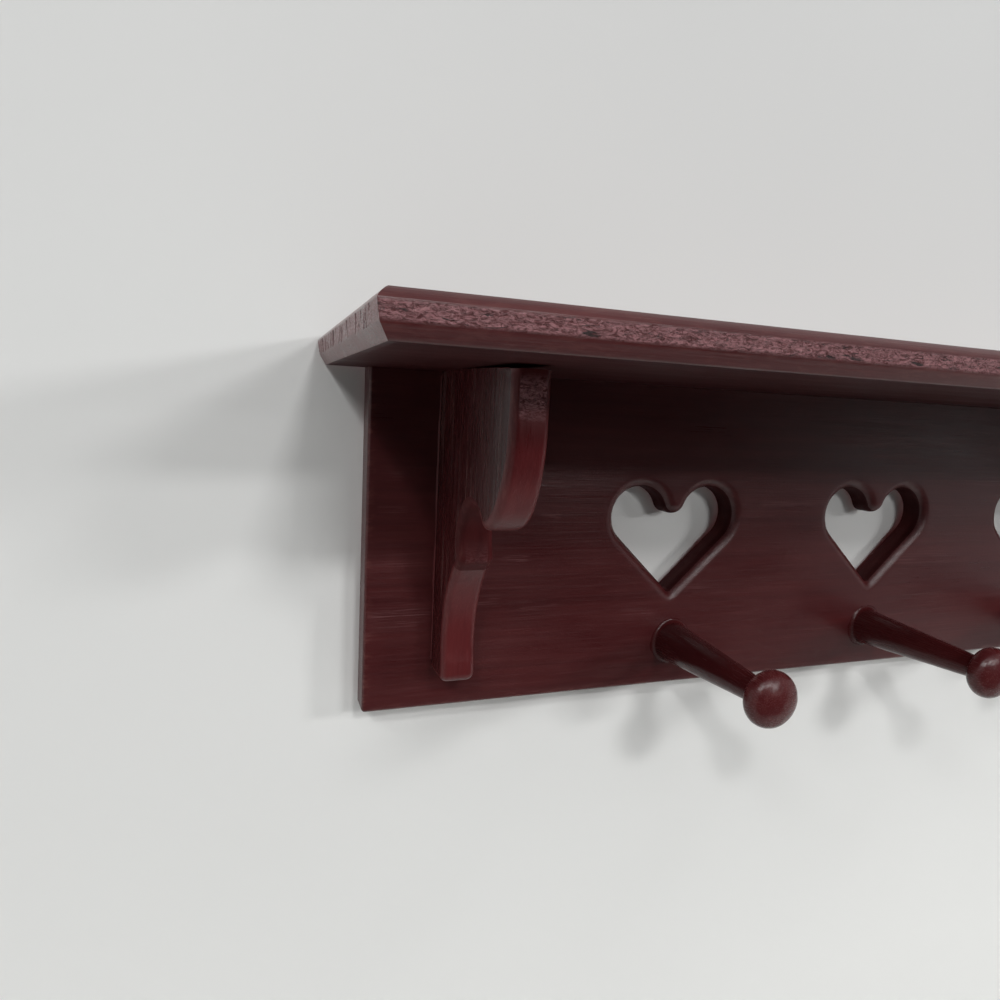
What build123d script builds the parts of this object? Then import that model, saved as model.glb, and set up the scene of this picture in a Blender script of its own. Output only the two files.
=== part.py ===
from build123d import *

import os
from math import acos, asin, atan2, cos, degrees, hypot, radians, sin, sqrt

# Shaker peg rail with a shelf: a pierced board on the wall, a moulded shelf on its top edge,
# two scrolled brackets and three turned pegs, held by glue, screws and two keyhole hangers.
#
# Frame, in millimetres: X runs along the rail, Y = 0 is the wall and -Y the front, Z is up.
# The origin is on the wall, midway between the two keyholes, at the height of the wall screws.

# ---- rail board
rail_length = 580.6
rail_height = 152.2
rail_thickness = 12.7
rail_edge_radius = 1.4  # eased front arris at the ends and along the bottom
rail_back_radius = 0.8  # eased back arris
origin_drop = 27.0  # from the rail's top edge down to the wall screws

# ---- hearts: two round lobes, a blunt notch between them and straight sides down to the tip
heart_pitch = 134.4
heart_drop = 64.5  # from the rail's top edge to the lobes' centres
heart_lobe_radius = 14.6
heart_lobe_spacing = 39.9
heart_depth = 39.0  # from the lobes' centres to the tip
heart_notch_radius = 6.8
heart_tip_radius = 1.6
heart_edge_radius = 6.2  # roundover of the front edge

# ---- shelf board
shelf_thickness = 12.7
shelf_reach = 132.3  # from the rail's front face to the shelf's front edge
shelf_overhang = 20.0  # past each end of the rail
shelf_top_radius = 3.2
shelf_band_height = 5.2  # rough-sawn middle of the edge
shelf_band_lean = 0.8
shelf_bevel_depth = 3.5  # how far the lower bevel goes in
shelf_band_radius = 0.9

# ---- brackets, depth forward of the rail and drop below the shelf
bracket_thickness = 15.3
bracket_inset = 31.1  # from the rail's end to the bracket's outer side
bracket_reach = 86.4
bracket_height = 134.5
bracket_front_drop = 20.0  # straight front before the lobe
lobe_front_radius = 52.0
lobe_front_turn = 34.0  # degrees
lobe_nose_radius = 22.0
cove_setback = 37.1  # from the bracket's front back to the cove's centre
cove_drop = 66.2
cove_radius = 15.0
tail_crest_angle = 218.0  # degrees round the cove's centre
tail_waist_share = 0.63  # waist's depth over the crest's depth
tail_waist_drop = 91.0
tail_foot_share = 0.4856  # foot's depth over the crest's depth
tail_foot_length = 9.5  # straight foot at the bottom
bracket_corner_radius = 4.4
bracket_edge_radius = 3.2

# ---- pegs
peg_pitch = 131.8
peg_rise = 22.4  # axis above the rail's bottom edge
peg_base_radius = 10.0
peg_middle_radius = 7.9
peg_neck_radius = 5.5
peg_flare = 2.4  # cove at the foot of the shank
peg_head_radius = 12.6
peg_head_half_length = 7.4
peg_head_side_radius = 5.6
peg_head_centre = 74.0  # rail face to the middle of the head
tenon_radius = 6.35
tenon_length = 10.0
tenon_gap = 0.1  # glue line round the tenon
bore_end_gap = 0.6

# ---- wood screws and plugs
fit_gap = 0.1
screw_shank_radius = 2.1
screw_head_radius = 4.1
screw_head_height = 2.4
screw_length = 31.8
screw_point = 6.0
screw_tip_share = 0.35  # blunt tip's radius over the shank's
screw_slot_width = 1.1
screw_slot_depth = 1.2
bracket_screw_upper_drop = 14.0
bracket_screw_lower_drop = 38.0
bracket_screw_sink = 0.6
shelf_screw_pitch = 165.0  # between the screws that go down into the rail
shelf_screw_forward = 46.0  # rail face to the screw that goes down into a bracket
plug_radius = 4.75
plug_length = 4.4
plug_sink = 0.1

# ---- keyhole hangers
hanger_spacing = 406.4  # two wall studs
plate_length = 40.0
plate_width = 16.0
plate_thickness = 1.5
plate_sink = 0.2
entry_radius = 4.5
slot_width = 4.6
slot_travel = 9.0
plate_screw_spacing = 29.0
plate_screw_shank_radius = 1.5
plate_screw_head_radius = 2.9
plate_screw_head_height = 1.3
plate_screw_length = 10.0
plate_screw_point = 3.0
plate_screw_slot_width = 0.7
plate_screw_slot_depth = 0.6
pocket_side_gap = 0.8  # pocket wider than the entry hole, all round
pocket_depth = 5.2  # behind the plate

# ---- places
rail_top = origin_drop
rail_bottom = rail_top - rail_height
rail_front = -rail_thickness
shelf_length = rail_length + 2 * shelf_overhang
shelf_front = rail_front - shelf_reach
shelf_top = rail_top + shelf_thickness
bracket_x = rail_length / 2 - bracket_inset - bracket_thickness / 2
cove_forward = bracket_reach - cove_setback
hanger_x = hanger_spacing / 2
peg_z = rail_bottom + peg_rise
trio = {"left": -1, "middle": 0, "right": 1}
pair = {"left": -1, "right": 1}
near = 1e-4  # slack when an edge is picked by where it lies


def front_plane(x, z):
    """On the wall, for outlines in X and Z that run forward."""
    return Plane(origin=(x, 0, z), x_dir=(1, 0, 0), z_dir=(0, -1, 0))


def side_plane(y, z):
    """Amidships, for outlines whose first coordinate is the reach forward and second the height."""
    return Plane(origin=(0, y, z), x_dir=(0, -1, 0), z_dir=(-1, 0, 0))


def screw(shank, head, head_height, length, point, slot_w, slot_d, grow=0.0):
    """A countersunk screw along -Z with its head's top at the origin, or its hole where grow > 0."""
    head_r = head + grow
    shank_r = shank + grow
    tip = -(length + grow)
    with BuildSketch(Plane.XZ) as half:
        with BuildLine():
            Polyline(
                (0, 0),
                (head_r, 0),
                (shank_r, -head_height - grow),
                (shank_r, tip + point),
                (screw_tip_share * shank, tip),
                (0, tip),
                close=True,
            )
        make_face()
    body = revolve(half.sketch, Axis.Z)
    if grow == 0:
        slot_run = 3 * head
        body -= Pos(0, 0, -slot_d / 2) * Box(slot_run, slot_w, slot_d)
    return body


def wood_screw(grow=0.0):
    return screw(
        screw_shank_radius,
        screw_head_radius,
        screw_head_height,
        screw_length,
        screw_point,
        screw_slot_width,
        screw_slot_depth,
        grow,
    )


def plate_screw(grow=0.0):
    return screw(
        plate_screw_shank_radius,
        plate_screw_head_radius,
        plate_screw_head_height,
        plate_screw_length,
        plate_screw_point,
        plate_screw_slot_width,
        plate_screw_slot_depth,
        grow,
    )


def heart_outline():
    """Closed face in local x, y with its origin midway between the lobes' centres."""
    half = heart_lobe_spacing / 2
    reach = hypot(half, heart_depth)
    tangent = sqrt(reach**2 - heart_lobe_radius**2)
    slope = atan2(heart_depth, half) - asin(heart_lobe_radius / reach)
    touch_x = tangent * cos(slope)
    touch_y = tangent * sin(slope) - heart_depth
    notch_y = sqrt((heart_lobe_radius + heart_notch_radius) ** 2 - half**2)
    lobe_from = degrees(atan2(notch_y, -half))
    lobe_to = degrees(slope) - 90
    turn = lobe_from - lobe_to
    notch_half = 90 - degrees(atan2(notch_y, half))
    with BuildSketch() as outline:
        with BuildLine():
            CenterArc((half, 0), heart_lobe_radius, lobe_from, -turn)
            Line((touch_x, touch_y), (0, -heart_depth))
            Line((0, -heart_depth), (-touch_x, touch_y))
            CenterArc((-half, 0), heart_lobe_radius, 180 - lobe_to, -turn)
            CenterArc((0, notch_y), heart_notch_radius, 270 - notch_half, 2 * notch_half)
        make_face()
        fillet(outline.vertices().sort_by(Axis.Y)[0], heart_tip_radius)
    return outline.sketch


def keyhole_outline():
    """Round entry at the bottom and a slot up to the wall screw's seat, which is at the origin."""
    slot = SlotCenterToCenter(slot_travel, slot_width, rotation=90)
    return Pos(0, -slot_travel / 2) * slot + Pos(0, -slot_travel) * Circle(entry_radius)


def pocket_outline():
    width = 2 * (entry_radius + pocket_side_gap)
    return Pos(0, -slot_travel / 2) * SlotCenterToCenter(slot_travel, width, rotation=90)


def plate_outline(grow=0.0):
    end = SlotOverall(plate_length + 2 * grow, plate_width + 2 * grow, rotation=90)
    return Pos(0, -slot_travel / 2) * end


def bracket_outline():
    """Side view: local x is forward of the rail's face, local y is height above the shelf joint."""
    turn = radians(lobe_front_turn)
    front_x = bracket_reach - lobe_front_radius
    join_x = front_x + lobe_front_radius * cos(turn)
    join_y = -bracket_front_drop - lobe_front_radius * sin(turn)
    nose_x = join_x - lobe_nose_radius * cos(turn)
    nose_y = join_y + lobe_nose_radius * sin(turn)
    lobe_bottom = nose_y - lobe_nose_radius
    with BuildSketch() as lobe:
        with BuildLine():
            Line((0, 0), (bracket_reach, 0))
            Line((bracket_reach, 0), (bracket_reach, -bracket_front_drop))
            CenterArc((front_x, -bracket_front_drop), lobe_front_radius, 0, -lobe_front_turn)
            CenterArc((nose_x, nose_y), lobe_nose_radius, -lobe_front_turn, lobe_front_turn - 90)
            Line((nose_x, lobe_bottom), (0, lobe_bottom))
            Line((0, lobe_bottom), (0, 0))
        make_face()
    crest = radians(tail_crest_angle)
    crest_x = cove_forward + cove_radius * cos(crest)
    crest_y = -cove_drop + cove_radius * sin(crest)
    waist_x = tail_waist_share * crest_x
    foot_x = tail_foot_share * crest_x
    foot_y = -bracket_height + tail_foot_length
    with BuildSketch() as tail:
        with BuildLine():
            Line((0, -cove_drop + cove_radius), (cove_forward, -cove_drop + cove_radius))
            Line((cove_forward, -cove_drop + cove_radius), (cove_forward, -cove_drop))
            Line((cove_forward, -cove_drop), (crest_x, crest_y))
            ThreePointArc((crest_x, crest_y), (waist_x, -tail_waist_drop), (foot_x, foot_y))
            Line((foot_x, foot_y), (foot_x, -bracket_height))
            Line((foot_x, -bracket_height), (0, -bracket_height))
            Line((0, -bracket_height), (0, -cove_drop + cove_radius))
        make_face()
    cove = Pos(cove_forward, -cove_drop) * Circle(cove_radius)
    outline = lobe.sketch + tail.sketch - cove
    near_nose = outline.vertices().sort_by_distance((nose_x + cove_radius / 2, lobe_bottom, 0))[0]
    near_crest = outline.vertices().sort_by_distance((crest_x, crest_y, 0))[0]
    foot = outline.vertices().sort_by_distance((foot_x, -bracket_height, 0))[0]
    return fillet([near_nose, near_crest, foot], bracket_corner_radius)


def bracket(side):
    """side is -1 for the left bracket and 1 for the right one."""
    outline = side_plane(rail_front, rail_top) * bracket_outline()
    body = extrude(outline, bracket_thickness / 2, both=True)
    outer = body.edges().filter_by(lambda e: abs(abs(e.center().X) - bracket_thickness / 2) < near)
    shaped = outer.filter_by(
        lambda e: e.center().Y < rail_front - near and e.center().Z < rail_top - near
    )
    body = Pos(side * bracket_x, 0, 0) * fillet(shaped, bracket_edge_radius)
    for place in bracket_screw_places(side):
        body -= place * wood_screw(fit_gap)
    body -= shelf_bracket_screw_place(side) * wood_screw(fit_gap)
    return body


def bracket_screw_places(side):
    """From the rail's back, forward into the bracket: the screw's -Z turns to -Y."""
    y = -bracket_screw_sink
    drops = [bracket_screw_upper_drop, bracket_screw_lower_drop]
    return [Location((side * bracket_x, y, rail_top - drop), (-90, 0, 0)) for drop in drops]


def screw_top_in_shelf():
    return shelf_top - plug_sink - plug_length


def shelf_rail_screw_place(x):
    return Location((x, rail_front / 2, screw_top_in_shelf()))


def shelf_bracket_screw_place(side):
    return Location((side * bracket_x, rail_front - shelf_screw_forward, screw_top_in_shelf()))


def shelf_screw_places():
    places = {}
    for name, step in trio.items():
        places[f"{name}_shelf_screw"] = shelf_rail_screw_place(step * shelf_screw_pitch)
    for name, side in pair.items():
        places[f"{name}_shelf_bracket_screw"] = shelf_bracket_screw_place(side)
    return places


def plate_screw_places(side):
    middle = -slot_travel / 2
    offsets = [plate_screw_spacing / 2, -plate_screw_spacing / 2]
    return [
        Location((side * hanger_x, -plate_sink, middle + offset), (-90, 0, 0)) for offset in offsets
    ]


def rail():
    body = Pos(0, -rail_thickness / 2, (rail_top + rail_bottom) / 2) * Box(
        rail_length, rail_thickness, rail_height
    )
    ends = body.edges().filter_by(Axis.Z)
    bottom = body.edges().filter_by(Axis.X).group_by(Axis.Z)[0]
    front = (ends + bottom).filter_by(lambda e: e.center().Y < rail_front + near)
    body = fillet(front, rail_edge_radius)
    back = body.edges().filter_by(lambda e: e.center().Y > -near and e.center().Z < rail_top - near)
    body = fillet(back, rail_back_radius)
    heart = heart_outline()
    for step in trio.values():
        place = front_plane(step * heart_pitch, rail_top - heart_drop)
        body -= extrude(place * heart, rail_thickness)
    face = body.faces().sort_by(Axis.Y)[0]
    rims = [edge for wire in face.inner_wires() for edge in wire.edges()]
    body = fillet(rims, heart_edge_radius)
    bore_depth = tenon_length + bore_end_gap
    bore = Cylinder(tenon_radius + tenon_gap, bore_depth, rotation=(90, 0, 0))
    for side in pair.values():
        back = front_plane(side * hanger_x, 0)
        recess = extrude(back * plate_outline(fit_gap), plate_sink + plate_thickness)
        pocket_reach = plate_sink + plate_thickness + pocket_depth
        pocket = extrude(back * pocket_outline(), pocket_reach)
        body -= recess + pocket
        for place in plate_screw_places(side):
            body -= place * plate_screw(fit_gap)
        for place in bracket_screw_places(side):
            body -= place * wood_screw(fit_gap)
            body -= place * Pos(0, 0, bracket_screw_sink) * Cylinder(
                screw_head_radius + fit_gap, 2 * bracket_screw_sink
            )
    for step in trio.values():
        body -= Pos(step * peg_pitch, rail_front + bore_depth / 2, peg_z) * bore
        body -= shelf_rail_screw_place(step * shelf_screw_pitch) * wood_screw(fit_gap)
    return body


def shelf_edge_profile(depth):
    """Section of the board: the moulded edge is at x = depth and the plain edge at x = 0."""
    band_top = shelf_thickness - shelf_top_radius
    band_foot = band_top - shelf_band_height
    with BuildSketch() as section:
        with BuildLine():
            Line((0, 0), (depth - shelf_bevel_depth, 0))
            Line((depth - shelf_bevel_depth, 0), (depth - shelf_band_lean, band_foot))
            Line((depth - shelf_band_lean, band_foot), (depth, band_top))
            CenterArc((depth - shelf_top_radius, band_top), shelf_top_radius, 0, 90)
            Line((depth - shelf_top_radius, shelf_thickness), (0, shelf_thickness))
            Line((0, shelf_thickness), (0, 0))
        make_face()
        arrises = section.vertices().filter_by(
            lambda v: v.X > depth - shelf_bevel_depth - near and v.Y < band_foot + near
        )
        fillet(arrises, shelf_band_radius)
    return section.sketch


def shelf():
    """The front moulding crossed with the two end mouldings, so the corners are mitred."""
    depth = -shelf_front
    profile = side_plane(0, rail_top) * shelf_edge_profile(depth)
    body = extrude(profile, shelf_length / 2, both=True)
    half = extrude(front_plane(0, rail_top) * shelf_edge_profile(shelf_length / 2), depth)
    body = body & (half + mirror(half, Plane.YZ))
    for place in shelf_screw_places().values():
        body -= place * wood_screw(fit_gap)
        well = plug_length + plug_sink
        body -= place * Pos(0, 0, well / 2) * Cylinder(plug_radius + fit_gap, well)
    return body


def plug(place):
    body = Cylinder(plug_radius, plug_length)
    return place * Pos(0, 0, plug_length / 2) * body


def peg(x):
    """Turned about its axis: tenon, shoulder, hollow-tapered shank and flattened ball."""
    foot = peg_base_radius + peg_flare
    side_x = peg_head_radius - peg_head_side_radius
    flat = peg_head_half_length - peg_head_side_radius
    crown_radius = peg_head_side_radius + (side_x**2 + flat**2) / (2 * flat)
    crown_centre = peg_head_centre + peg_head_half_length - crown_radius
    turn = degrees(atan2(peg_head_centre - crown_centre, side_x))
    neck_angle = degrees(acos((peg_neck_radius - side_x) / peg_head_side_radius))
    neck = peg_head_centre - peg_head_side_radius * sin(radians(neck_angle))
    with BuildSketch(Plane.XY) as half:
        with BuildLine():
            Polyline((0, -tenon_length), (tenon_radius, -tenon_length), (tenon_radius, 0), (foot, 0))
            CenterArc((foot, peg_flare), peg_flare, 270, -90)
            Spline(
                (peg_base_radius, peg_flare),
                (peg_middle_radius, neck / 2),
                (peg_neck_radius, neck),
            )
            CenterArc((side_x, peg_head_centre), peg_head_side_radius, -neck_angle, neck_angle + turn)
            CenterArc((0, crown_centre), crown_radius, turn, 90 - turn)
            Line((0, crown_centre + crown_radius), (0, -tenon_length))
        make_face()
    body = revolve(half.sketch, Axis.Y)
    return Location((x, rail_front, peg_z), (0, 0, 180)) * body


def hanger_plate(side):
    blank = plate_outline() - keyhole_outline()
    body = Pos(0, -plate_sink, 0) * extrude(front_plane(side * hanger_x, 0) * blank, plate_thickness)
    for place in plate_screw_places(side):
        body -= place * plate_screw(fit_gap)
    return body


def assembly():
    nodes = {"back_rail": rail(), "shelf_board": shelf()}
    for name, side in pair.items():
        nodes[f"{name}_bracket"] = bracket(side)
        for level, place in zip(("upper", "lower"), bracket_screw_places(side)):
            nodes[f"{name}_bracket_{level}_screw"] = place * wood_screw()
        nodes[f"{name}_hanger_plate"] = hanger_plate(side)
        for level, place in zip(("upper", "lower"), plate_screw_places(side)):
            nodes[f"{name}_hanger_{level}_screw"] = place * plate_screw()
    for name, step in trio.items():
        nodes[f"{name}_peg"] = peg(step * peg_pitch)
    for name, place in shelf_screw_places().items():
        nodes[name] = place * wood_screw()
        nodes[name.replace("screw", "plug")] = plug(place)
    return nodes


os.makedirs("parts", exist_ok=True)
for node, solid in assembly().items():
    export_step(solid, f"parts/{node}.step")
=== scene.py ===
from math import acos, asin, atan2, cos, hypot, pi, radians, sin, sqrt

import bmesh
import bpy
import numpy as np
from mathutils import Matrix, Vector, noise
from mathutils.geometry import delaunay_2d_cdt


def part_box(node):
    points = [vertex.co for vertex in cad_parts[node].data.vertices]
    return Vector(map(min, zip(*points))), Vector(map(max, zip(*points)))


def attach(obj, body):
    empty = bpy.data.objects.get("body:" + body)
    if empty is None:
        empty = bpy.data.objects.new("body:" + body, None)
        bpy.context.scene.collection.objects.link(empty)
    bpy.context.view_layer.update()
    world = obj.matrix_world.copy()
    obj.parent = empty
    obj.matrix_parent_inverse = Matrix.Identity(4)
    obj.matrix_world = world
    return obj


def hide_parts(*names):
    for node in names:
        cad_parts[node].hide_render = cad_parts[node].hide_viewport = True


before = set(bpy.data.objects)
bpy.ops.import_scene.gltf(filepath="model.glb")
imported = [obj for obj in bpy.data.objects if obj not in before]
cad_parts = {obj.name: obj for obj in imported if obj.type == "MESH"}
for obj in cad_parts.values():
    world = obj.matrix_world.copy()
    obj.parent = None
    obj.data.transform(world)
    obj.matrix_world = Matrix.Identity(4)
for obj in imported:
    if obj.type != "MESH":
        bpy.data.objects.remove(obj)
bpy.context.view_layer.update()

# A painted wooden peg rail with a shelf. The pieces are worked out in millimetres, and
# Shell.piece turns them into metres. The stage, the lamps, the camera and the scales of the
# materials are in metres. The frame is the model's: X along the rail, -Y to the front, Z up.

MM = 0.001
PAIR = {"left": -1, "right": 1}
TRIO = {"left": -1, "middle": 0, "right": 1}


def box_mm(node):
    low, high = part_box(node)
    return np.array(low) / MM, np.array(high) / MM


rail_low, rail_high = box_mm("back_rail")
shelf_low, shelf_high = box_mm("shelf_board")
bracket_low, bracket_high = box_mm("left_bracket")
peg_low, peg_high = box_mm("left_peg")
rail_front = rail_low[1]
rail_top = rail_high[2]
bracket_x = -(bracket_low[0] + bracket_high[0]) / 2
bracket_half = (bracket_high[0] - bracket_low[0]) / 2

# ---- rail
RAIL_ARRIS = 1.4
RAIL_BACK_ARRIS = 0.8
RAIL_CORNER = 1.7

# ---- hearts
HEART_PITCH = 134.4
HEART_DROP = 64.5
LOBE_RADIUS = 14.6
LOBE_SPACING = 39.9
HEART_DEPTH = 39.0
NOTCH_RADIUS = 6.8
TIP_RADIUS = 1.6
HEART_ROUND = 6.2
# rings round a heart's edge: all, those in the face's coat, the worn ones and the nicked ones
HEART_RINGS, HEART_FACE_RINGS = 14, 8
HEART_WORN, HEART_NICKED = range(3, 8), range(2, 9)

# ---- shelf edge: top round, rough-sawn band, planed bevel
SHELF_ROUND = 3.2
SHELF_ROUND_POWER = 1.6
BAND_HEIGHT = 5.2
BAND_LEAN = 0.8
BEVEL_DEPTH = 3.5

# ---- brackets
BRACKET_ROUND = 3.2
FRONT_DROP = 20.0
LOBE_FRONT_RADIUS = 52.0
LOBE_TURN = radians(34.0)
NOSE_RADIUS = 22.0
NOSE_CORNER_NEAR = (62, -55)
COVE_SETBACK = 37.1
COVE_DROP = 66.2
COVE_RADIUS = 15.0
CREST_ANGLE = radians(218.0)
WAIST_SHARE = 0.63
WAIST_DROP = 91.0
FOOT_SHARE = 0.4856
FOOT_LENGTH = 9.5
CORNER_RADIUS = 4.4
# the crack between bracket and shelf opens from here forward, and fades out this far down
CRACK_FROM = 22.0
CRACK_WIDTH = 1.4
CRACK_FADE = 14.0
CRACK_POWER = 1.3
# the sides are sanded thinner towards the front, from this far forward of the rail
SANDED_FROM = 64
SANDED_RUN = 22
SANDED_DEPTH = 0.9

# ---- pegs, along the axis from the rail's face
PEG_PITCH = 131.8
PEG_BASE = 10.0
PEG_MIDDLE = 7.9
PEG_NECK = 5.5
PEG_FLARE = 2.4
PEG_HEAD = 12.6
PEG_HEAD_HALF = 7.4
PEG_HEAD_SIDE = 5.6
PEG_HEAD_CENTRE = 74.0
PEG_SINK = 0.4
PEG_SIDES = 96

# ---- hidden hardware that shows behind or on top
HANGER_X = 203.2
HANGER_MIDDLE = -4.5
HANGER_LENGTH = 40.2
HANGER_WIDTH = 16.2
HANGER_RECESS = 1.7
POCKET_LENGTH = 19.6
POCKET_WIDTH = 10.6
POCKET_DEPTH = 6.9
SCREW_HOLE = 4.2
SCREW_HOLE_DEPTH = 3.0
SCREW_DROPS = (14.0, 38.0)
SHELF_SCREW_PITCH = 165.0
SHELF_SCREW_FORWARD = 46.0
PLUG_HOLE = 4.85
PLUG_HOLE_DEPTH = 4.5

# ---- beads of paint in the joints: how round, how many points round, how deep their root is
BEAD_POWER = 1.7
BEAD_STEPS = 6
BEAD_ROOT = 0.3
RAIL_BEAD = 0.55
BRACKET_BEAD = 0.85

# ---- how far in the surface goes from the true shape
BOARD_UNEVEN = 0.10
BRACKET_UNEVEN = 0.12
PEG_UNEVEN = 0.14
SHELF_TORN = 0.60
SHELF_SLOT = 0.5
BRACKET_TORN = 0.45
BRACKET_SAW_LINES = 0.05
PEG_CHATTER = 0.06
PEG_DENTS = 0.12

# ---- coats of paint, each by its place in the piece's list of materials; several are lighter or darker copies of one paint, as painted light and painted shade
RAIL_FACE, RAIL_MATT_SHADE = range(2)
BOARD, UNDERSIDE_SHADE, BOARD_END_LIT, TOP_FACE = range(4)
SMOOTH_LIT, SAWN_SHADE, COVE = range(3)
HEAD, SHANK_SHADE = range(2)

# ---- meshing
SAME_POINT = 1e-6
NO_RISE = 1e-12
GRID_CHUNKS = 40
GRID_MARGIN = 0.6
INSIDE_ONLY = 1
DELAUNAY_EPSILON = 1e-7
FLAT_XY, FLAT_XZ, FLAT_YZ = [0, 1], [0, 2], [1, 2]
SEED_SHIFT = np.array([13.7, 5.3, 29.1])


# ---------------------------------------------------------------- points and noise


def noise_at(points, wavelengths, seed):
    """Perlin noise, about -1 to 1, with a wavelength in mm along each axis."""
    shift = SEED_SHIFT * (seed + 1)
    scaled = np.asarray(points, float) / np.asarray(wavelengths, float) + shift
    return np.array([noise.noise(Vector(p)) for p in scaled.tolist()])


def arc(centre, radius, start, end, step):
    """Points on an arc, angles in radians, no further apart than step, and their way outwards."""
    count = max(3, int(abs(end - start) * radius / step) + 2)
    angles = np.linspace(start, end, count)
    out = np.stack([np.cos(angles), np.sin(angles)], 1)
    return np.array(centre) + radius * out, out


def run(start, end, step):
    """Points along a straight line, both ends included."""
    start, end = np.array(start, float), np.array(end, float)
    count = max(2, int(np.linalg.norm(end - start) / step) + 2)
    return start + (end - start) * np.linspace(0, 1, count)[:, None]


class Outline:
    """A closed outline: points and, for each, the way out of the material, for offsets."""

    def __init__(self):
        self.points, self.out = [], []

    def add(self, points, out):
        for p, n in zip(points, np.broadcast_to(out, np.shape(points))):
            if self.points and np.allclose(p, self.points[-1], atol=SAME_POINT):
                self.out[-1] = (self.out[-1] + n) / 2
            else:
                self.points.append(np.array(p, float))
                self.out.append(np.array(n, float))
        return self

    def closed(self):
        if np.allclose(self.points[0], self.points[-1], atol=SAME_POINT):
            self.points.pop()
            self.out.pop()
        self.points, self.out = np.array(self.points), np.array(self.out)
        return self

    def inset(self, depth):
        return self.points - depth * self.out


def circle_outline(centre, radius, step=0.8):
    """A round hole: the way out of the material points into the hole."""
    points, out = arc(centre, radius, 0, 2 * pi, step)
    return Outline().add(points, -out).closed()


def stadium_outline(centre, length, width, step=1.0, side_step=3.0):
    """An upright slot. Its way out of the material points inwards, to the slot's middle."""
    radius, half = width / 2, (length - width) / 2
    outline = Outline()
    for end, start in ((1, 0), (-1, pi)):
        middle = (centre[0], centre[1] + end * half)
        points, out = arc(middle, radius, start, start + pi, step)
        outline.add(points, -out)
        x = centre[0] - end * radius
        side = run((x, centre[1] + end * half), (x, centre[1] - end * half), side_step)
        outline.add(side, (end, 0))
    return outline.closed()


def heart_outline(centre, step=0.7, edge_step=1.6):
    """The hole of a heart: the way out of the material points into the hole."""
    half = LOBE_SPACING / 2
    reach = hypot(half, HEART_DEPTH)
    tangent = sqrt(reach**2 - LOBE_RADIUS**2)
    slope = atan2(HEART_DEPTH, half) - asin(LOBE_RADIUS / reach)
    touch = np.array([tangent * cos(slope), tangent * sin(slope) - HEART_DEPTH])
    notch_y = sqrt((LOBE_RADIUS + NOTCH_RADIUS) ** 2 - half**2)
    lobe_from, lobe_to = atan2(notch_y, -half), slope - pi / 2
    notch_half = pi / 2 - atan2(notch_y, half)
    tip_y = TIP_RADIUS / cos(slope) - HEART_DEPTH
    outline = Outline()
    for side in (1, -1):
        flip = np.array([side, 1])
        lobe, lobe_out = arc((half, 0), LOBE_RADIUS, lobe_from, lobe_to, step)
        tip, tip_out = arc((0, tip_y), TIP_RADIUS, lobe_to, -pi / 2, step / 3)
        edge = run(touch, tip[0], edge_step)
        edge_out = np.broadcast_to([cos(lobe_to), sin(lobe_to)], edge.shape)
        notch_end = notch_half - pi / 2
        notch, notch_out = arc((0, notch_y), NOTCH_RADIUS, -pi / 2, notch_end, step / 2)
        parts = [(notch, notch_out), (lobe, -lobe_out), (edge, -edge_out), (tip, -tip_out)]
        for points, out in parts if side == 1 else reversed(parts):
            if side == -1:
                points, out = points[::-1], out[::-1]
            outline.add(np.array(centre) + points * flip, out * flip)
    return outline.closed()


def circles_meet(c1, r1, c2, r2, near):
    """Where two circles cross, the crossing nearest to a point."""
    c1, c2 = np.array(c1), np.array(c2)
    gap = c2 - c1
    d = np.linalg.norm(gap)
    a = (r1**2 - r2**2 + d**2) / (2 * d)
    h = sqrt(max(r1**2 - a**2, 0))
    middle = c1 + a * gap / d
    side = np.array([-gap[1], gap[0]]) / d
    return min((middle + h * side, middle - h * side), key=lambda p: np.linalg.norm(p - near))


def circle_through(p, q, r):
    """Centre and radius of the circle through three points."""
    p, q, r = (np.array(v, float) for v in (p, q, r))
    m = 2 * np.array([q - p, r - p])
    k = np.array([q @ q - p @ p, r @ r - p @ p])
    centre = np.linalg.solve(m, k)
    return centre, np.linalg.norm(p - centre)


def angle_to(centre, point):
    return atan2(point[1] - centre[1], point[0] - centre[0])


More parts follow.
